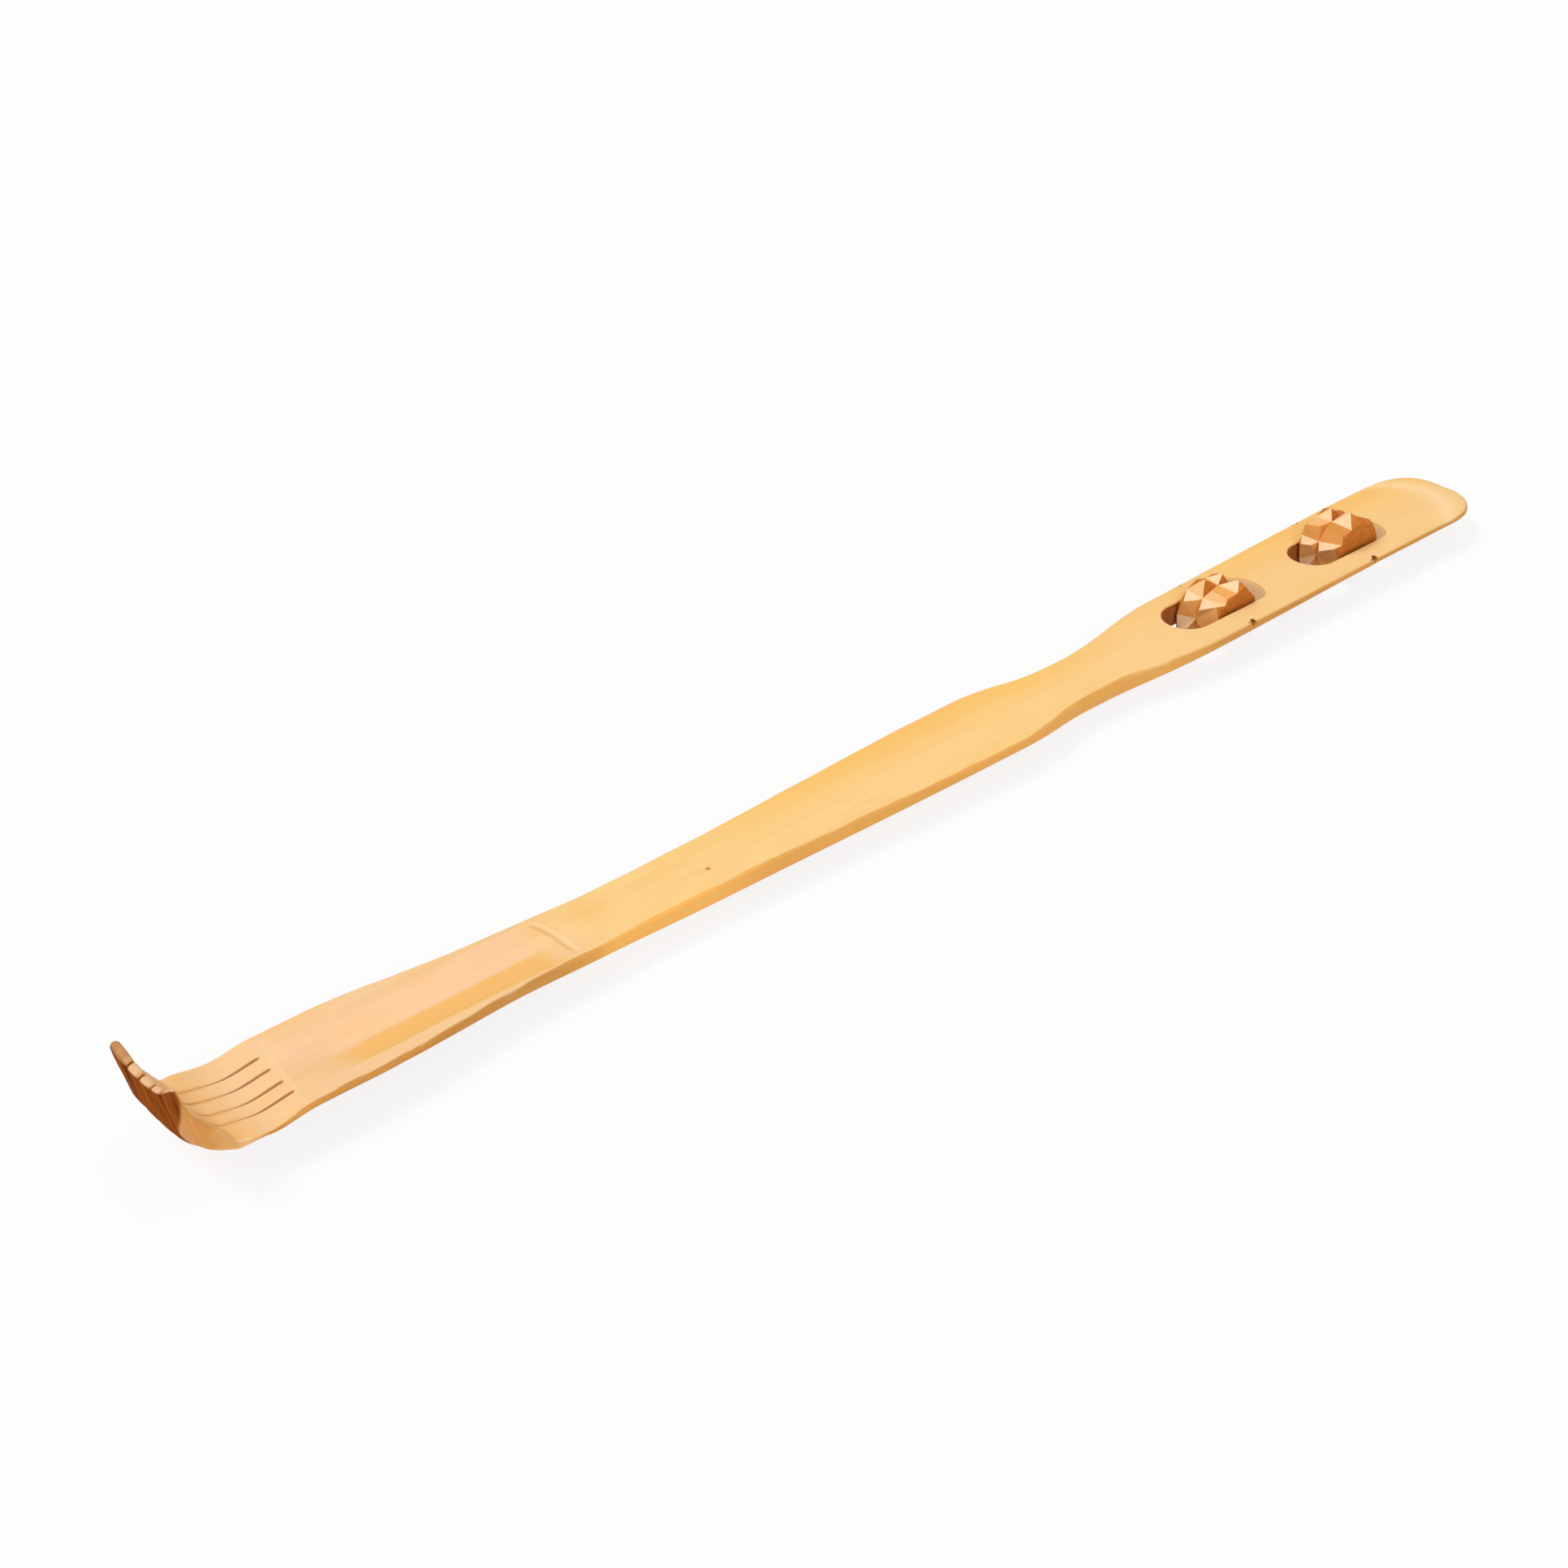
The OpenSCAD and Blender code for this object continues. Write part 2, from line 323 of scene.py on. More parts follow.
def claw_ring(turn, reach, thin=1.0, past=0.0):
    """One section of the claw, turned through the bend and then carried up the fingers.

    thin is the share of its thickness that is kept, and past how far it lies beyond the finger tips.
    """
    y, drop = across(CLAW_HALF, claw_round)
    part = y / CLAW_HALF
    u = in_finger(y)
    shown = ease(turn / bend_angle)
    upper = -palm_hollow * (1 - part**2)
    thick = mix(finger_root, finger_tip, reach**1.3)
    late = 0.15 * part**2
    risen = ease((turn / bend_angle - late) / (1 - late))
    lower = mix(under(-palm_length, y, CLAW_HALF) + palm_dip, upper - thick, risen)
    s = turn / bend_angle + reach
    lower = lower + finger_crown * shown * u**4
    lower = lower + near_lift(-palm_length, part) * (1 - 0.25 * span(s, 0, 0.9))
    lower = lower + back_hollow * span(s, 0.4, 0.9) * (1 - 0.7 * span(s, 1.2, 2))
    upper = upper - finger_dip * shown * u**4 + claw_fillet(s, part)
    drop = np.minimum(drop, 0.4 * (upper - lower))
    middle = (upper + lower) / 2
    length = finger_length - tip_scoop * (1 - part**2) - corner_loss * np.abs(u) ** 3
    length = length + near_gain * span(-part, 0.4, 1) - far_loss * span(part, 0.4, 1)
    out = reach * length + past
    lift = -claw_skew * part * ease(turn / math.radians(50))

    def place(n):
        x = -palm_length - (bend_radius - n) * math.sin(turn) - out * math.cos(turn)
        z = bend_radius - palm_dip - (bend_radius - n) * math.cos(turn) + out * math.sin(turn) + lift
        return np.stack([x, y, z], 1)

    inner = place(middle + (upper - drop - middle) * thin)
    outer = place(middle + (lower + drop - middle) * thin)
    return np.concatenate([inner, outer[::-1]])


FINGER_STEPS = 14
BEND_STEPS = 24


def body_rings():
    """All sections of the strip, from the finger tips to the paddle's tip."""
    tips = [claw_ring(bend_angle, 1, thin, past) for thin, past in ((0.4, 0.55), (0.75, 0.4), (0.93, 0.2))]
    fingers = [claw_ring(bend_angle, k / FINGER_STEPS) for k in range(FINGER_STEPS, 0, -1)]
    bend = [claw_ring(bend_angle * k / BEND_STEPS, 0) for k in range(BEND_STEPS, -1, -1)]
    places = np.concatenate(
        [
            np.linspace(-palm_length, -2, 12)[1:],
            np.linspace(-2, 8, 22)[1:],
            np.linspace(8, node_at - 8, 36)[1:],
            np.linspace(node_at - 8, flat_from, 44)[1:],
            np.linspace(flat_from, shoulder_at, 60)[1:],
            np.linspace(shoulder_at, paddle_from, 50)[1:],
            np.linspace(paddle_from, tip_at - end_length, 60)[1:],
            tip_at - end_length * (1 - np.sin(np.linspace(0, math.radians(88.5), 30)[1:])),
        ]
    )
    return tips + fingers + bend + [strip_ring(x) for x in places]


def new_object(name, points, faces):
    """An object in the scene, with its faces turned outward."""
    mesh = bpy.data.meshes.new(name)
    mesh.from_pydata([tuple(p) for p in points], [], faces)
    mesh.validate()
    grid = bmesh.new()
    grid.from_mesh(mesh)
    bmesh.ops.recalc_face_normals(grid, faces=grid.faces)
    grid.to_mesh(mesh)
    grid.free()
    mesh.update()
    obj = bpy.data.objects.new(name, mesh)
    bpy.context.scene.collection.objects.link(obj)
    return obj


def joined_rings(rings):
    """Faces between rings of the same number of points."""
    loop = len(rings[0])
    faces = []
    for i in range(len(rings) - 1):
        for j in range(loop):
            a = i * loop + j
            b = i * loop + (j + 1) % loop
            faces.append((a, b, b + loop, a + loop))
    return faces


def skinned(name, rings):
    """A closed solid through rings whose first half is the top and second half the underside."""
    loop = len(rings[0])
    faces = joined_rings(rings)
    last = (len(rings) - 1) * loop
    for j in range(ACROSS - 1):
        k = loop - 1 - j
        faces.append((j, j + 1, k - 1, k))
        faces.append((last + j, last + k, last + k - 1, last + j + 1))
    return new_object(name, to_frame(np.concatenate(rings)), faces)


def lofted(name, rings):
    """A closed solid through rings of the same number of points, with flat ends."""
    loop = len(rings[0])
    last = (len(rings) - 1) * loop
    faces = joined_rings(rings) + [tuple(range(loop)), tuple(range(last, last + loop))]
    return new_object(name, to_frame(np.concatenate(rings)), faces)


def slot_outline(middle, grow):
    """The slot's outline in plan, grown outward: its inner end is round, its outer end flatter."""
    r = slot_width / 2 + grow
    reach = (slot_length - slot_width) / 2
    a = np.linspace(-math.pi / 2, math.pi / 2, 25)
    right = np.stack([middle + reach + (slot_end + grow) * np.cos(a), r * np.sin(a)], 1)
    left = np.stack([middle - reach - r * np.cos(a), -r * np.sin(a)], 1)
    return np.concatenate([right, left])


def slot_cutter(name, axle):
    """A cutter with eased rims that follow the paddle's two faces."""
    rings = []
    for side, depth, grow in (
        ("low", -2, 1.6),
        ("low", 0, 0.35),
        ("low", 0.3, 0.05),
        ("low", 0.6, 0),
        ("high", 0.9, 0),
        ("high", 0.5, 0.04),
        ("high", 0.2, 0.16),
        ("high", 0, 0.42),
        ("high", -2, 2.6),
    ):
        xy = slot_outline(axle - slot_shift, grow)
        h = half(xy[:, 0])
        y = xy[:, 1] - sweep(xy[:, 0])
        z = top(xy[:, 0], y, h) - depth if side == "high" else under(xy[:, 0], y, h) + depth
        rings.append(np.column_stack([xy, z]))
    return lofted(name, rings)


def slit_cutter(name, y):
    """A saw slit that closes up toward the finger tips, from its places and half widths there."""
    shape = [(0.6, 0.16), (0.4, 0.4), (-0.2, 0.51), (-4, 0.46)]
    shape = shape + [(-8, 0.34), (-12, 0.17), (-15, 0.06), (-60, 0.05)]
    plan = [(x, y + w) for x, w in shape] + [(x, y - w) for x, w in shape[::-1]]
    well_below = -20
    well_above = 50
    return lofted(name, [np.array([(px, py, z) for px, py in plan]) for z in (well_below, well_above)])


def round_bar(name, x, radius, low, high, eased=0.0, sides=32):
    """A round bar along y, with eased ends where asked."""
    a = np.linspace(0, 2 * math.pi, sides, endpoint=False)
    steps = [(low, radius), (high, radius)]
    if eased:
        steps = [(low, radius - eased), (low + eased, radius), (high - eased, radius), (high, radius - eased)]
    rings = []
    for y, r in steps:
        rings.append(np.stack([x + r * np.sin(a), a * 0 + y, -axle_drop + r * np.cos(a)], 1))
    return lofted(name, rings)


def settled(obj):
    """Replaces obj's mesh by what its modifiers make of it."""
    bpy.context.view_layer.update()
    made = bpy.data.meshes.new_from_object(obj.evaluated_get(bpy.context.evaluated_depsgraph_get()))
    obj.modifiers.clear()
    obj.data = made
    return made


def cut_out(obj, others):
    """Cuts the other solids out of obj and removes them."""
    for other in others:
        m = obj.modifiers.new("cut", "BOOLEAN")
        m.operation = "DIFFERENCE"
        m.solver = "EXACT"
        m.object = other
    settled(obj)
    for other in others:
        bpy.data.objects.remove(other)


def pin_ends(axle):
    """Where the pin on an axle ends on the near side and on the far side."""
    middle = float(sweep(axle))
    reach = float(half(np.float64(axle))) - pin_inset
    return middle - reach, middle + reach


well_outside = 30
body_sharp_angle = 38
pin_sharp_angle = 40
body = skinned("carved_strip", body_rings())
cutters = [slit_cutter(f"slit_{i}", y) for i, y in enumerate(slit_lines)]
for i, axle in enumerate(axles):
    near_end, far_end = pin_ends(axle)
    cutters.append(slot_cutter(f"slot_{i}", axle))
    cutters.append(round_bar(f"bore_{i}", axle, pin_d / 2 + seat_gap, near_end, far_end))
    past_near = near_end + hole_overlap
    past_far = far_end - hole_overlap
    cutters.append(round_bar(f"near_hole_{i}", axle, hole_radius, -well_outside, past_near, sides=20))
    cutters.append(round_bar(f"far_hole_{i}", axle, hole_radius, past_far, well_outside, sides=20))
cut_out(body, cutters)
body.data.shade_smooth()
body.data.set_sharp_from_angle(angle=math.radians(body_sharp_angle))

# Regions of the strip for its material, worked out from each point's place and direction.
# The last two numbers of a span say where a region starts and where it is whole.
hole_margin = 0.02
slot_margin = 0.08
count = len(body.data.vertices)
spots = np.zeros(count * 3)
body.data.vertices.foreach_get("co", spots)
spots = spots.reshape(-1, 3) * 1000 - origin
facing = np.zeros(count * 3, np.float32)
body.data.vertex_normals.foreach_get("vector", facing)
facing = facing.reshape(-1, 3)
px, py, pz = spots.T
side_y = py - sweep(px)
wide = side_y / np.maximum(half(px), 2)


def mask(name, values):
    """Keeps a region on the strip's points under a name that its material reads."""
    attribute = body.data.attributes.new(name, "FLOAT", "POINT")
    attribute.data.foreach_set("value", np.clip(values, 0, 1).astype(np.float32))


upward = span(facing[:, 2], 0.3, 0.8)
behind_crease = span(px - crease_at(side_y), -0.5, 1.5)
in_trough = behind_crease * (1 - span(px, 66, 84)) * upward
mask("palm", 1 - span(px, 62, 100))
mask("paddle", span(px, 235, 300))
along_far = span(px, 100, 190) * (1 - 0.7 * span(px, 240, 290) + 0.6 * span(px, 310, 370))
mask("far_half", span(wide, -0.25, 0.85) * along_far * upward)
mask("pith", in_trough * span(side_y, -2.4, 1) * (1 - span(side_y, 8.6, 9.8)))
mask("inner_wall", in_trough * span(px, 4, 26) * span(side_y, -10.6, -9) * (1 - span(side_y, -3, 1.5)))
on_cut = span(-side_y - half(px) + near_cut(px), -0.12, 0.12)
on_cut = on_cut * span(px, -19, -9) * (1 - span(px, cut_fades_from, cut_fades_to))
# On the paddle the side colour starts at a slighter tilt from up, is weaker along the far edge and is darker:
# painted shade on the rounded shoulder and end, besides the sides' own colour.
flat_paddle_from = 290
on_paddle = px > flat_paddle_from
turned = np.where(px < flat_paddle_from, span(-facing[:, 2], -0.66, 0.1), span(-facing[:, 2], -0.96, -0.5))
turned = turned * np.where(on_paddle & (side_y > 4) & (px < tip_at - 9), 0.3, 1)
mask("skin", np.maximum(turned * span(px, -16, -6), on_cut))
fresh = span(px, 82, 90) * (1 - span(px, 115, 150))
mask("side_tone", 0.58 + 0.42 * fresh - 0.5 * (1 - span(px, 70, 88)) - 0.45 * span(px, 285, 320))
# Pale lines on the top: at the crease and the node's ridge they are partly wear and partly painted highlight,
# along the near edge at the bend a painted highlight over the crease's shade, and near the paddle's end a
# painted highlight crescent.
crease_line = hump(px - crease_at(side_y), 0.6) * upward * span(side_y, -11, -5) * (1 - span(side_y, 11, 14))
edge_line = hump(side_y + palm_width / 2 - 0.5, 0.6) * span(-px, 13, 17) * (1 - span(-px, 22, 25)) * (pz > -4)
ridge_line = hump(px - scar_at(side_y) - 1.4, 0.7) * upward * (1 - span(np.abs(side_y), 7, 9))
end_highlight_at = 431
end_line = hump(px - end_highlight_at + 0.035 * side_y**2, 4) * upward
# The outer end walls of the slots are painted light, as if lit, though the rollers shade them.
painted_light_slot_ends = np.zeros(count)
for axle in axles:
    by_slot = (np.abs(px - axle) < slot_length / 2 + slot_shift) * (np.abs(py) < slot_width / 2 + 0.4)
    painted_light_slot_ends = np.maximum(painted_light_slot_ends, span(px - axle, 3, 12) * by_slot * (facing[:, 2] < 0.5))
lines = [crease_line * 0.35, edge_line * 0.6, ridge_line * 0.5, end_line * 0.6, painted_light_slot_ends]
mask("wear_and_highlight", np.max(lines, axis=0))
scar_line = hump(px - scar_at(side_y), 0.55) * upward * (1 - span(np.abs(side_y), 6.5, 9))
beside = np.min([np.abs(side_y - y) for y in slit_lines], axis=0)
streaks = hump(beside, 0.75) * span(-px, 11, 16) * (1 - span(-px, 20, 25)) * span(facing[:, 2], 0.1, 0.6)
mask("stain", np.maximum(scar_line * 0.35, streaks * 0.5))

# The claw's back is partly burnt brown by the heat that bent it and partly painted shade, and the pin holes
# and the slots are painted dark inside as shade.
swing = np.arctan2(-palm_length - px, bend_radius - palm_dip - pz)
bent = span(swing, math.radians(30), math.radians(66)) * (px < -palm_length)
turn = np.clip(swing, 0, bend_angle)
depth = (-palm_length - px) * np.sin(turn) + (bend_radius - palm_dip - pz) * np.cos(turn)
outward = -facing[:, 0] * np.sin(turn) - facing[:, 2] * np.cos(turn)
back = np.maximum(span(outward, 0.1, 0.5), (beside < 0.3) * span(depth, 7.6, 8.6))
spared_edge = 15.5
spared_foot = 8
spared = span(-py - spared_edge + spared_foot * (1 - span(pz, 1, 19)), -0.5, 0.5)
in_hole = np.zeros(count, bool)
for axle in axles:
    from_axle = np.hypot(px - axle, pz + axle_drop)
    in_hole |= (from_axle < hole_radius + hole_margin) & (np.abs(facing[:, 1]) < 0.5)
along = (pz - bend_radius + palm_dip) * math.sin(bend_angle) - (px + palm_length) * math.cos(bend_angle)
tip_line = finger_length - tip_scoop * (1 - (py / CLAW_HALF) ** 2) - claw_skew * py / CLAW_HALF
at_tip = span(along, tip_line - 1.6, tip_line - 0.4) * (px < -palm_length - 4)
on_far_finger = span(py, 7.5, 10.5)
by_slit = hump(beside, 0.7)
browned = at_tip * np.maximum(0.7 * on_far_finger, 0.6 * by_slit)
# Partly heat burn and partly painted shade on the back, and painted shade in the pin holes.
mask("scorch_and_shade", np.max([bent * back * (1 - spared), in_hole, browned], axis=0))
cheek = span(swing, math.radians(-10), math.radians(18)) * (px < -6) * (1 - back)
cheek = cheek * span(np.abs(facing[:, 1]), 0.2, 0.7)
# Inside the claw toward the bend the colour is painted warmer and darker as shade, more toward the near
# finger.
inside = span(-px, 9, 20) * (1 - back)
mask("warm_shade", inside * (0.45 + 0.35 * span(-py, 4, 12)) * (1 - 0.7 * edge_line))
# The outside of the bend and the cheeks are toasted by the heat that bent the claw, and the near finger's
# inside is painted darker as shade.
outside = span(swing, 0, math.radians(25)) * back
near_inside_shade = inside * 0.5 * span(-px, 17, 22) * span(-py, 9, 14)
mask("toasted_and_shade", np.max([outside, cheek, near_inside_shade], axis=0) * (1 - 0.8 * edge_line))
end_on = facing[:, 2] * math.sin(bend_angle) - facing[:, 0] * math.cos(bend_angle)
mask("tip", at_tip * span(end_on, 0.3, 0.7) * (1 - 0.75 * on_far_finger) * (1 - by_slit))
# The slots' walls are painted dark as shade, fully at their inner ends and fading toward their outer ends.
in_slot = np.zeros(count)
for axle in axles:
    dx = np.maximum(np.abs(px - axle + slot_shift) - (slot_length - slot_width) / 2, 0)
    walls = np.hypot(dx, py) < slot_width / 2 + slot_margin
    in_slot = np.maximum(in_slot, walls * (1 - span(px - axle, 2, 13)))
mask("slot_wall_shade", in_slot)


def srgb(r, g, b):
    """A colour as a picture shows it, to the linear one that a shader takes."""
    parts = [v / 255 for v in (r, g, b)]
    return tuple(v / 12.92 if v <= 0.04045 else ((v + 0.055) / 1.055) ** 2.4 for v in parts) + (1,)


# Colours of the bamboo, the rollers' wood and the pins.
shaft_tone = srgb(252, 210, 141)
paddle_tone = srgb(248, 205, 141)
far_tone = srgb(250, 198, 110)
palm_tone = srgb(247, 204, 153)
pith_tone = srgb(251, 206, 160)
wall_tone = srgb(246, 191, 112)
# The darker side colour, which on the paddle also stands for painted shade.
dark_side_tone = srgb(204, 140, 70)
fresh_side_tone = srgb(254, 190, 100)
warm_tone = srgb(247, 186, 100)
cloud_tone = srgb(247, 190, 106)
thread_tone = srgb(206, 142, 70)
# Pale wear and painted highlights.
wear_and_highlight_tone = srgb(254, 222, 174)
stain_tone = srgb(196, 126, 58)
speck_tone = srgb(196, 126, 62)
# Painted shade inside the slots.
slot_shade_tone = srgb(170, 98, 42)
# Toast from the bending, which also stands for painted shade on the near finger's inside.
toast_and_shade_tone = srgb(220, 152, 80)
# Dark streaked colours of the claw's back and the pin holes, partly burn and partly painted shade.
char_and_shade_tone = srgb(106, 42, 1)
scorch_and_shade_tone = srgb(174, 92, 16)
tip_tone = srgb(232, 186, 140)
# Pale, honey and brown roller faces: the wood's colour with painted light and shade on the facets.
pale_dark_grain = srgb(248, 206, 154)
pale_light_grain = srgb(253, 220, 176)
brown_dark_grain = srgb(184, 100, 30)
brown_light_grain = srgb(208, 124, 44)
honey_tone = srgb(238, 170, 92)
pin_dark_grain = srgb(112, 58, 22)
pin_light_grain = srgb(150, 88, 40)

# Spots on the strip in millimetres: a blush on the shaft and a dark speck.
blush_at = (92, 4, -1)
speck_at = (125.5, -2.6, -1.1)


class Shader:
    """A material's nodes, joined as they are made."""

    def __init__(self, name):
        self.material = bpy.data.materials.new(name)
        self.material.use_nodes = True
        self.tree = self.material.node_tree
        self.main = self.tree.nodes["Principled BSDF"]

    def set(self, socket, value):
        """Links another node's output to a socket, or gives it a plain value."""
        if isinstance(value, bpy.types.NodeSocket):
            self.tree.links.new(value, socket)
        else:
            socket.default_value = value

    def place(self, stretch):
        """The object's own coordinates in metres, stretched."""
        coordinates = self.tree.nodes.new("ShaderNodeTexCoord")
        mapping = self.tree.nodes.new("ShaderNodeMapping")
        self.set(mapping.inputs["Vector"], coordinates.outputs["Object"])
        self.set(mapping.inputs["Scale"], stretch)
        return mapping.outputs["Vector"]

    def noise(self, stretch, detail, rough):
        node = self.tree.nodes.new("ShaderNodeTexNoise")
        self.set(node.inputs["Vector"], self.place(stretch))
        self.set(node.inputs["Scale"], 1.0)
        self.set(node.inputs["Detail"], detail)
        self.set(node.inputs["Roughness"], rough)
        return node.outputs["Fac"]

    def ramp(self, value, low, high, to_low=0.0, to_high=1.0):
        node = self.tree.nodes.new("ShaderNodeMapRange")
        node.clamp = True
        for name, number in (("Value", value), ("From Min", low), ("From Max", high)):
            self.set(node.inputs[name], number)
        self.set(node.inputs["To Min"], to_low)
        self.set(node.inputs["To Max"], to_high)
        return node.outputs["Result"]

    def math(self, kind, a, b):
        node = self.tree.nodes.new("ShaderNodeMath")
        node.operation = kind
        self.set(node.inputs[0], a)
        self.set(node.inputs[1], b)
        return node.outputs[0]

    def near(self, point, inner, outer):
        """1 close to a point of the strip, in millimetres, and 0 away from it."""
        coordinates = self.tree.nodes.new("ShaderNodeTexCoord")
        node = self.tree.nodes.new("ShaderNodeVectorMath")
        node.operation = "DISTANCE"
        self.set(node.inputs[0], coordinates.outputs["Object"])
        self.set(node.inputs[1], tuple(to_frame(point)))
        return self.ramp(node.outputs["Value"], inner / 1000, outer / 1000, 1.0, 0.0)

    def blend(self, factor, a, b, kind="MIX"):
        node = self.tree.nodes.new("ShaderNodeMix")
        node.data_type = "RGBA"
        node.blend_type = kind
        self.set(node.inputs[0], factor)
        self.set(node.inputs[6], a)
        self.set(node.inputs[7], b)
        return node.outputs[2]

    def area(self, name):
        """A region that was kept on the mesh under a name."""
        node = self.tree.nodes.new("ShaderNodeAttribute")
        node.attribute_name = name
        return node.outputs["Fac"]

    def finish(self, colour, roughness, shine, height, depth):
        """The material, with a bump of a depth in metres."""
        self.set(self.main.inputs["Base Color"], colour)
        self.set(self.main.inputs["Roughness"], roughness)
        self.set(self.main.inputs["Specular IOR Level"], shine)
        node = self.tree.nodes.new("ShaderNodeBump")
        self.set(node.inputs["Distance"], depth)
        self.set(node.inputs["Height"], height)
        self.set(self.main.inputs["Normal"], node.outputs["Normal"])
        return self.material


def bamboo_material():
    s = Shader("bamboo")
    fibres = s.noise((16, 900, 900), 4.0, 0.6)
    threads = s.noise((45, 3600, 3600), 2.0, 0.5)
    clouds = s.noise((30, 90, 90), 3.0, 0.55)
    ragged = s.ramp(fibres, 0.3, 0.7, -0.22, 0.22)
    colour = s.blend(s.area("paddle"), shaft_tone, paddle_tone)
    colour = s.blend(s.area("far_half"), colour, far_tone)
    colour = s.blend(s.area("palm"), colour, palm_tone)
    pith = s.ramp(s.math("ADD", s.area("pith"), ragged), 0.35, 0.75)
    colour = s.blend(pith, colour, pith_tone)
    inner_wall = s.ramp(s.math("ADD", s.area("inner_wall"), ragged), 0.3, 0.8)
    colour = s.blend(inner_wall, colour, wall_tone)
    # The sides keep their own colour, and on the paddle this also paints the shade of the rounded shoulder
    # and end.
    side = s.blend(s.area("side_tone"), dark_side_tone, fresh_side_tone)
    colour = s.blend(s.area("skin"), colour, side)
    colour = s.blend(s.ramp(s.near(blush_at, 2, 9), 0.0, 1.0, 0.0, 0.35), colour, warm_tone)
    colour = s.blend(s.ramp(clouds, 0.45, 0.72, 0.0, 0.3), colour, cloud_tone)
    colour = s.blend(1.0, colour, s.ramp(fibres, 0.3, 0.7, 0.965, 1.02), "MULTIPLY")
    colour = s.blend(s.ramp(threads, 0.66, 0.78, 0.0, 0.1), colour, thread_tone)
    # Wear and painted highlights lighten these lines, the paddle's end and the slots' outer end walls.
    colour = s.blend(s.area("wear_and_highlight"), colour, wear_and_highlight_tone)
    colour = s.blend(s.area("stain"), colour, stain_tone)
    colour = s.blend(s.near(speck_at, 0.35, 0.9), colour, speck_tone)
    # Painted shade inside the slots.
    colour = s.blend(s.area("slot_wall_shade"), colour, slot_shade_tone)
    # Painted shade inside the claw toward the bend, then the toast of the bend's outside and cheeks, with
    # painted shade on the near finger's inside.
    colour = s.blend(s.area("warm_shade"), colour, warm_tone)
    colour = s.blend(s.area("toasted_and_shade"), colour, toast_and_shade_tone)
    streaks = s.noise((160, 620, 30), 3.0, 0.55)
    # Streaked burn and painted shade for the claw's back and the pin holes.
    scorch_and_shade_colour = s.blend(s.ramp(streaks, 0.36, 0.66), char_and_shade_tone, scorch_and_shade_tone)
    colour = s.blend(s.area("scorch_and_shade"), colour, scorch_and_shade_colour)
    colour = s.blend(s.area("tip"), colour, tip_tone)
    height = s.math("ADD", fibres, s.math("MULTIPLY", threads, 0.5))
    charred = s.ramp(s.area("scorch_and_shade"), 0.0, 1.0, 0.42, 1.0)
    rough = s.math("MAXIMUM", s.ramp(fibres, 0.3, 0.7, 0.42, 0.56), charred)
    return s.finish(colour, rough, shine=0.06, height=height, depth=0.00005)


def roller_material():
    s = Shader("roller_wood")
    grain = s.noise((900, 60, 900), 4.0, 0.6)
    colour = s.blend(s.ramp(grain, 0.3, 0.7), pale_dark_grain, pale_light_grain)
    brown = s.blend(s.ramp(grain, 0.3, 0.7), brown_dark_grain, brown_light_grain)
    # Pale, honey and brown faces paint the facets' light and shade besides the wood's own colour and its
    # brown end grain.
    colour = s.blend(s.ramp(s.area("stain_and_shade"), 0.0, 0.5), colour, honey_tone)
    colour = s.blend(s.ramp(s.area("stain_and_shade"), 0.5, 1.0), colour, brown)
    rough = s.ramp(grain, 0.3, 0.7, 0.5, 0.62)
    return s.finish(colour, rough, shine=0.12, height=grain, depth=0.00006)


def pin_material():
    s = Shader("pin_bamboo")
    grain = s.noise((2200, 120, 2200), 3.0, 0.6)
    colour = s.blend(s.ramp(grain, 0.35, 0.65), pin_dark_grain, pin_light_grain)
    return s.finish(colour, 0.6, shine=0.2, height=grain, depth=0.00005)


body.data.materials.clear()
body.data.materials.append(bamboo_material())
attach(body, "handle")
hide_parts("scratcher_body")


class Tooth(NamedTuple):
    """A pyramid of a roller: its angle, height and distance from the groove, and the gap after it.

    The gap is an angle and a radius at the row's end. The ridge is an angle, a radius and a distance.
    The tones of the upper flank, the lower flank and the groove side run from pale 0 to brown 1, and paint
    light and shade on the facets as well as the wood's own colour.
    """

    angle: float
    height: float
    out: float
    gap: tuple
    ridge: tuple = ()
    tones: tuple = (0.95, 0.95, 0.95)


# The teeth's edges are eased by a width in metres, where two faces meet at more than an angle in degrees.
EASED_WIDTH = 0.00016
EASED_FROM_ANGLE = 12


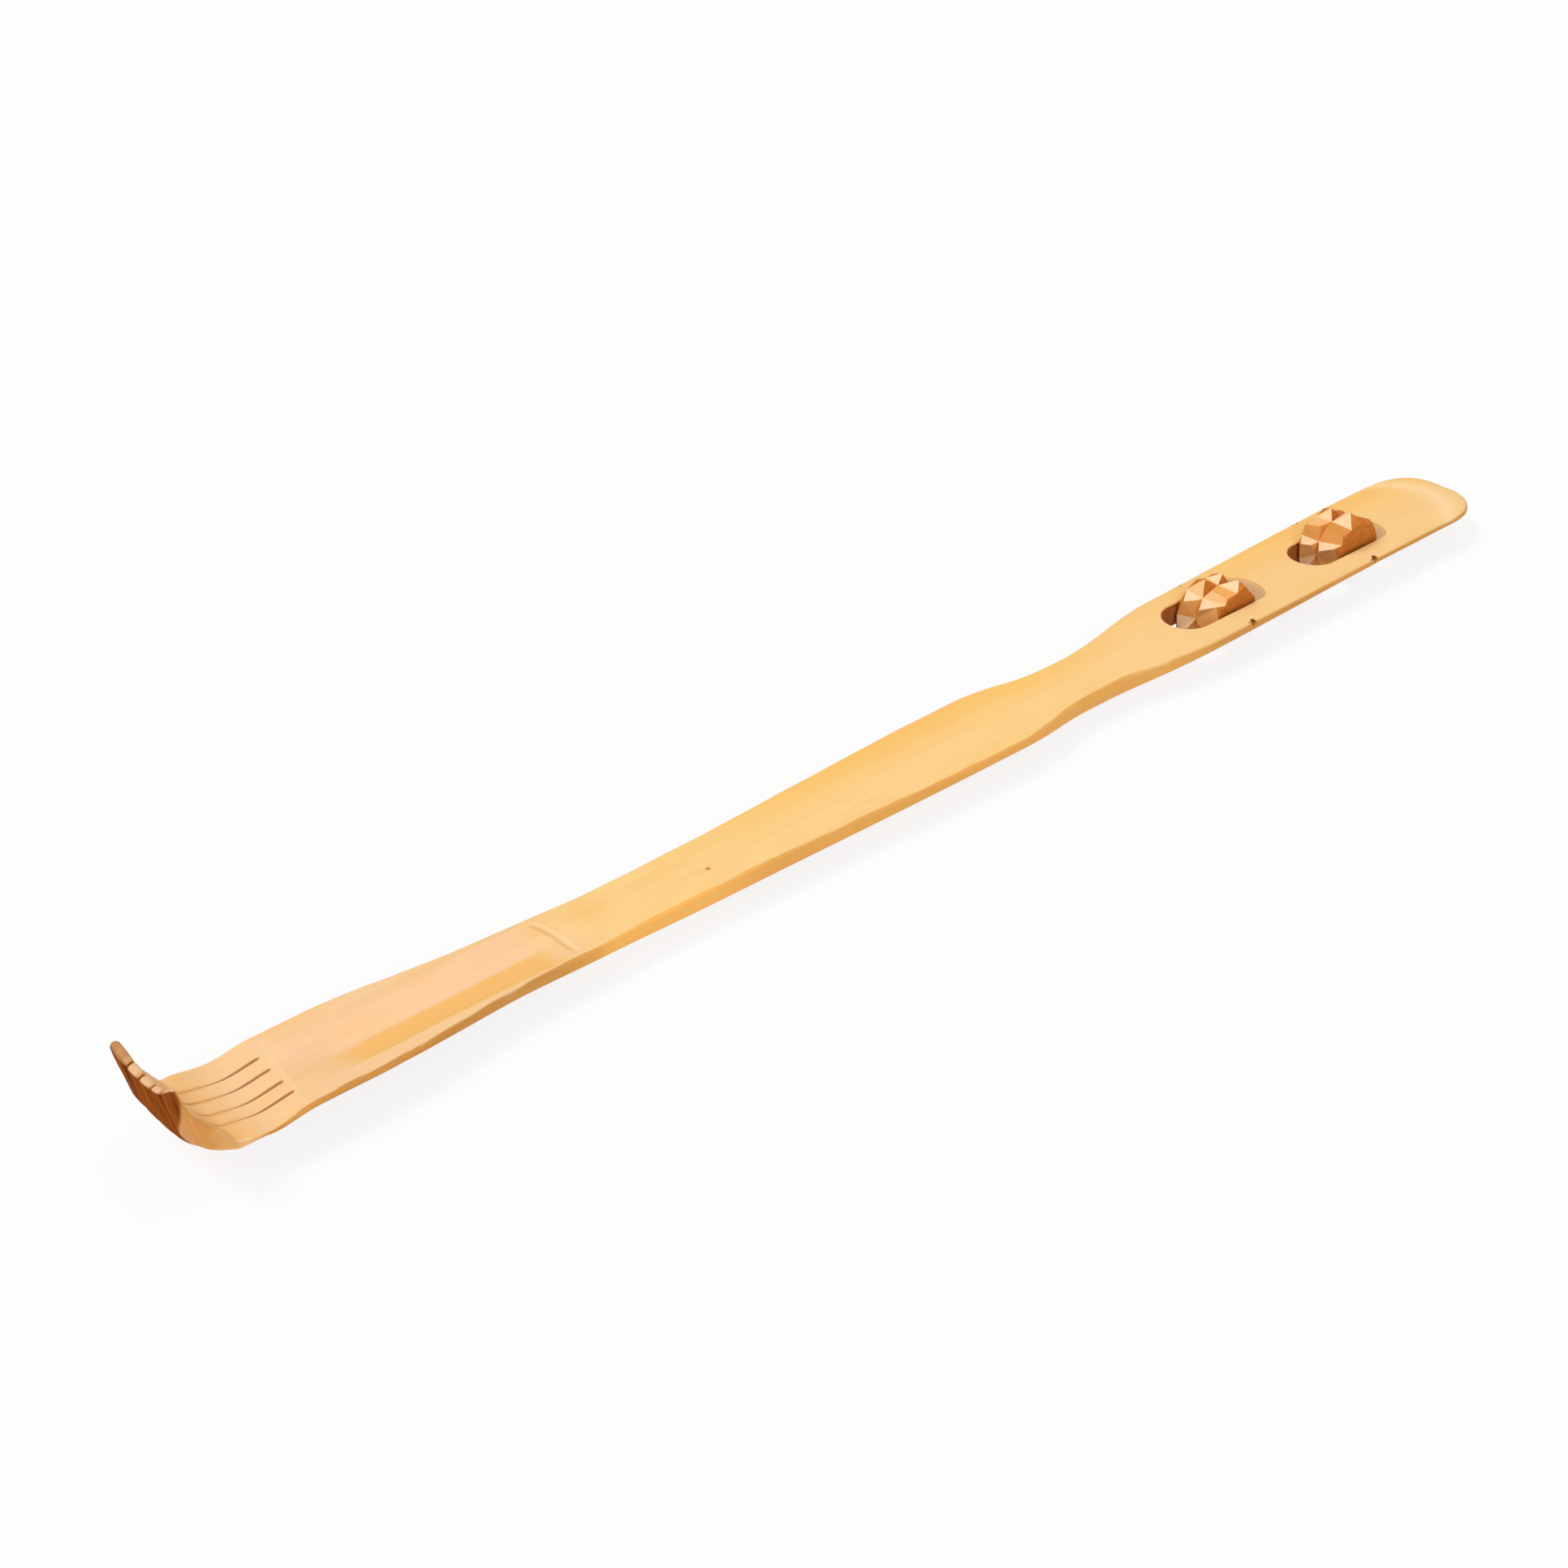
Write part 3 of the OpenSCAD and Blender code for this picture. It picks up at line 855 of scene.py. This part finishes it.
class Roller:
    """A roller with two rows of pyramids cut by hand, some flanks pale and some brown: painted light and
    shade as well as the wood's own colour.

    groove is where the groove between the rows lies across, skew how much the rows lean for each
    millimetre across, and shift and lift how far their middle is off the axle.
    """

    ridge_drop = 0.35
    ridge_reach = 1.3
    rim_drop = 0.25
    rim_slope = 0.3
    end_tone = 0.95

    def __init__(self, axle, groove, skew, shift, lift):
        self.axle = axle
        self.groove = groove
        self.skew = skew
        self.shift = shift
        self.lift = lift
        self.points = []
        self.faces = []
        self.tones = []

    def point(self, angle, r, y):
        """A new point of the rows, which stand a little askew on the axle."""
        a = math.radians(angle)
        x = self.axle + self.shift - self.skew * y + r * math.cos(a)
        self.points.append((x, y, self.lift - axle_drop + r * math.sin(a)))
        return len(self.points) - 1

    def hole(self, y, sides):
        """A ring of points round the bore."""
        first = len(self.points)
        for k in range(sides):
            a = 2 * math.pi * k / sides
            r = pin_d / 2 + running_gap
            self.points.append((self.axle + r * math.cos(a), y, -axle_drop + r * math.sin(a)))
        return list(range(first, first + sides))

    def face(self, tone, *corners):
        """A new face with its tone, from pale 0 to brown 1, partly the wood's colour and partly painted light
        and shade.
        """
        self.faces.append(corners)
        self.tones.append(tone)

    def row(self, teeth, crossings, side):
        """One row, from the groove to its end on the side -1 or 1, and the loop of points round its end."""
        end = side * roller_length / 2
        tips, ridges, rims, lows = [], [], [], []
        for t in teeth:
            plain = (t.angle, t.height - self.ridge_drop, min(self.ridge_reach, 0.5 * t.out))
            angle, r, out = t.ridge or plain
            past = abs(end - self.groove - side * t.out)
            tips.append(self.point(t.angle, t.height, self.groove + side * t.out))
            ridges.append(self.point(angle, r, self.groove + side * out))
            rims.append(self.point(t.angle, t.height - self.rim_drop - self.rim_slope * past, end))
            lows.append(self.point(*t.gap, end))
        for k, t in enumerate(teeth):
            tip, ridge, rim = tips[k], ridges[k], rims[k]
            before, after = crossings[k - 1], crossings[k]
            low_before, low_after = lows[k - 1], lows[k]
            upper, lower, inner = t.tones
            self.face(lower, tip, ridge, after)
            self.face(lower, tip, after, low_after)
            self.face(upper, tip, low_before, before)
            self.face(upper, tip, before, ridge)
            self.face(inner, ridge, before, after)
            self.face(self.end_tone, tip, low_after, rim)
            self.face(self.end_tone, tip, rim, low_before)
        return [i for pair in zip(rims, lows) for i in pair]

    def build(self, name, near, far, crossings, wheel, node):
        """The roller as a piece: its near and far teeth, and the low points between them in the groove."""
        joins = [self.point(a, low, self.groove) for a, low in crossings]
        loops = [self.row(near, joins, -1), self.row(far, joins, 1)]
        holes = [self.hole(side * roller_length / 2, len(loops[0])) for side in (-1, 1)]
        count = len(loops[0])
        for k in range(count):
            m = (k + 1) % count
            for loop, hole in zip(loops, holes):
                self.face(1.0, loop[k], loop[m], hole[m], hole[k])
            self.face(1.0, holes[0][k], holes[0][m], holes[1][m], holes[1][k])
        obj = new_object(name, to_frame(self.points), self.faces)
        # The faces' tones, partly the wood's colour and end grain and partly painted light and shade, go to
        # the material.
        stain = obj.data.attributes.new("stain_and_shade", "FLOAT", "FACE")
        stain.data.foreach_set("value", np.array(self.tones, np.float32))
        m = obj.modifiers.new("eased_edges", "BEVEL")
        m.width = EASED_WIDTH
        m.segments = 2
        m.limit_method = "ANGLE"
        m.angle_limit = math.radians(EASED_FROM_ANGLE)
        made = settled(obj)
        made.materials.clear()
        made.materials.append(wood)
        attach(obj, wheel)
        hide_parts(node)


wood = roller_material()
outer = Roller(outer_axle, groove=2.2, skew=0.18, shift=0, lift=1.0)
outer.build(
    "outer_toothed_roller",
    [
        Tooth(4, 9.8, 7, (27, 8.4)),
        Tooth(52, 9.6, 7.4, (71, 7.4)),
        Tooth(88, 10.8, 4.4, (122, 9.2), (92, 10.6, 3.1), (0.9, 0, 0.9)),
        Tooth(141, 10.3, 8.1, (156, 9.9), (132, 9.4, 1.2), (0.75, 0.58, 0.3)),
        Tooth(166, 10.4, 6.9, (192, 9), (178, 10.2, 2.2), (0, 0.45, 0.4)),
        Tooth(215, 9.8, 7, (238, 8.6), (), (0.5, 0.95, 0.6)),
        Tooth(262, 9.6, 7, (286, 8.6)),
        Tooth(310, 9.6, 7, (338, 8.6)),
    ],
    [
        Tooth(8, 10, 3, (28, 8.8)),
        Tooth(46, 10, 3, (66, 8.6)),
        Tooth(90, 10.7, 2, (114, 8.8), (90, 10.6, 1.8), (0.9, 0, 1)),
        Tooth(140, 11.5, 4, (158, 10.5), (134, 9.3, 1.2), (0.35, 0.58, 0.55)),
        Tooth(172, 11.5, 3.4, (204, 10.8), (171, 10.3, 0.7), (0, 0.48, 0.5)),
        Tooth(217, 11.6, 3.8, (240, 9.6), (214, 10.6, 1.3), (0, 0.9, 0.6)),
        Tooth(264, 10.2, 3.4, (288, 8.8)),
        Tooth(314, 9.8, 3, (340, 8.8)),
    ],
    [(28, 7.8), (77, 8.4), (104, 7.2), (164, 7.7), (198, 8.2), (238, 8), (286, 8), (338, 7.8)],
    "outer_wheel",
    "outer_roller",
)
inner = Roller(inner_axle, groove=1.2, skew=0.19, shift=0.75, lift=-0.5)
inner.build(
    "inner_toothed_roller",
    [
        Tooth(338, 9.4, 6, (0, 8)),
        Tooth(22, 8.8, 6.2, (48, 7.4)),
        Tooth(74, 9.7, 5.4, (98, 7.2), (74, 9.4, 4.2), (0.9, 0, 0.9)),
        Tooth(127, 8.2, 7.3, (141, 7.7), (119, 8, 1.2), (0.5, 0.3, 0.25)),
        Tooth(150, 9.5, 6.4, (178, 8.8), (166, 9.3, 1.2), (0, 0.45, 0.35)),
        Tooth(200, 9.6, 6, (222, 8.6), (), (0.5, 0.95, 0.6)),
        Tooth(245, 9.6, 6, (268, 8.4)),
        Tooth(290, 9.6, 6, (314, 8.4)),
    ],
    [
        Tooth(318, 9.6, 3.6, (340, 8.4)),
        Tooth(0, 9.8, 3.6, (26, 7.8)),
        Tooth(52, 10.1, 2.8, (70, 7.3), (52, 10, 2.5), (0.9, 0, 1)),
        Tooth(104, 9.3, 2.6, (134, 8.5), (104, 9.2, 2.3), (0.5, 0.25, 1)),
        Tooth(158, 10.1, 3.8, (186, 9.9), (149, 8.9, 0.6), (0, 0.55, 0.5)),
        Tooth(209, 11.6, 4.6, (238, 9.8), (206, 10.8, 1.5), (0, 0.9, 0.6)),
        Tooth(256, 9.9, 4, (272, 8.6)),
        Tooth(288, 9.6, 3.6, (302, 8.4)),
    ],
    [(350, 7.6), (42, 8.2), (84, 6.8), (141, 7.6), (188, 8.4), (228, 8.2), (268, 7.8), (304, 7.6)],
    "inner_wheel",
    "inner_roller",
)

pin_wood = pin_material()
for name, axle in (("inner_pin", inner_axle), ("outer_pin", outer_axle)):
    near_end, far_end = pin_ends(axle)
    pin = round_bar(name.replace("pin", "axle_pin"), axle, pin_d / 2, near_end, far_end, pin_ease)
    pin.data.shade_smooth()
    pin.data.set_sharp_from_angle(angle=math.radians(pin_sharp_angle))
    pin.data.materials.append(pin_wood)
    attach(pin, "handle")
    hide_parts(name)

# Floor, light and camera. The floor reaches 3 m each way.
floor_reach = 3
floor_grey = 0.9
floor_glow = 0.85
sky_tint = (1, 0.98, 0.95, 1)
sky_strength = 0.57
scene = bpy.context.scene
scene.view_settings.view_transform = "Standard"

floor_corners = [(x * floor_reach, y * floor_reach, 0) for x, y in ((-1, -1), (1, -1), (1, 1), (-1, 1))]
floor = new_object("floor", floor_corners, [(0, 1, 2, 3)])
paper = bpy.data.materials.new("floor")
paper.use_nodes = True
tree = paper.node_tree
tree.nodes.clear()
output = tree.nodes.new("ShaderNodeOutputMaterial")
matte = tree.nodes.new("ShaderNodeBsdfDiffuse")
matte.inputs["Color"].default_value = (floor_grey, floor_grey, floor_grey, 1)
glow = tree.nodes.new("ShaderNodeEmission")
glow.inputs["Strength"].default_value = 1
path = tree.nodes.new("ShaderNodeLightPath")
seen = tree.nodes.new("ShaderNodeMath")
seen.operation = "MAXIMUM"
tree.links.new(path.outputs["Is Camera Ray"], seen.inputs[0])
tree.links.new(path.outputs["Is Glossy Ray"], seen.inputs[1])
part = tree.nodes.new("ShaderNodeMath")
part.operation = "MULTIPLY"
part.inputs[1].default_value = floor_glow
tree.links.new(seen.outputs[0], part.inputs[0])
joined = tree.nodes.new("ShaderNodeMixShader")
tree.links.new(part.outputs[0], joined.inputs[0])
tree.links.new(matte.outputs[0], joined.inputs[1])
tree.links.new(glow.outputs[0], joined.inputs[2])
tree.links.new(joined.outputs[0], output.inputs["Surface"])
floor.data.materials.append(paper)

world = bpy.data.worlds.new("studio")
scene.world = world
world.use_nodes = True
sky = world.node_tree
sky.nodes.clear()
sky_out = sky.nodes.new("ShaderNodeOutputWorld")
soft = sky.nodes.new("ShaderNodeBackground")
soft.inputs["Color"].default_value = sky_tint
soft.inputs["Strength"].default_value = sky_strength
white = sky.nodes.new("ShaderNodeBackground")
white.inputs["Color"].default_value = (1, 1, 1, 1)
rays = sky.nodes.new("ShaderNodeLightPath")
both = sky.nodes.new("ShaderNodeMixShader")
sky.links.new(rays.outputs["Is Camera Ray"], both.inputs[0])
sky.links.new(soft.outputs[0], both.inputs[1])
sky.links.new(white.outputs[0], both.inputs[2])
sky.links.new(both.outputs[0], sky_out.inputs["Surface"])

# Each sun has a strength, a size in degrees and the direction that it stands in.
for name, strength, size, toward in (
    ("key", 1.36, 22, (-0.42, 0.3, 0.86)),
    ("front_fill", 0.6, 40, (-0.25, -0.85, 0.46)),
):
    lamp = bpy.data.lights.new(name, "SUN")
    lamp.energy = strength
    lamp.angle = math.radians(size)
    light = bpy.data.objects.new(name, lamp)
    light.rotation_mode = "QUATERNION"
    light.rotation_quaternion = Vector(toward).to_track_quat("Z", "Y")
    scene.collection.objects.link(light)

# The camera stands where straight edges and outlines of the photograph put it, in the strip's millimetres.
camera_at = (-183.897, -401.638, 354.923)
sensor_width = 36
lens = 55.425
view_right = Vector((0.756898, -0.653234, -0.019761)).normalized()
view_forward = Vector((0.538173, 0.640161, -0.548237)).normalized()
view_up = view_right.cross(view_forward).normalized()
camera_data = bpy.data.cameras.new("camera")
camera_data.sensor_width = sensor_width
camera_data.lens = lens
camera_data.clip_start = 0.01
camera = bpy.data.objects.new("camera", camera_data)
axes = Matrix((view_right, view_up, -view_forward)).transposed().to_4x4()
camera.matrix_world = Matrix.Translation(Vector(to_frame(camera_at))) @ axes
scene.collection.objects.link(camera)
scene.camera = camera
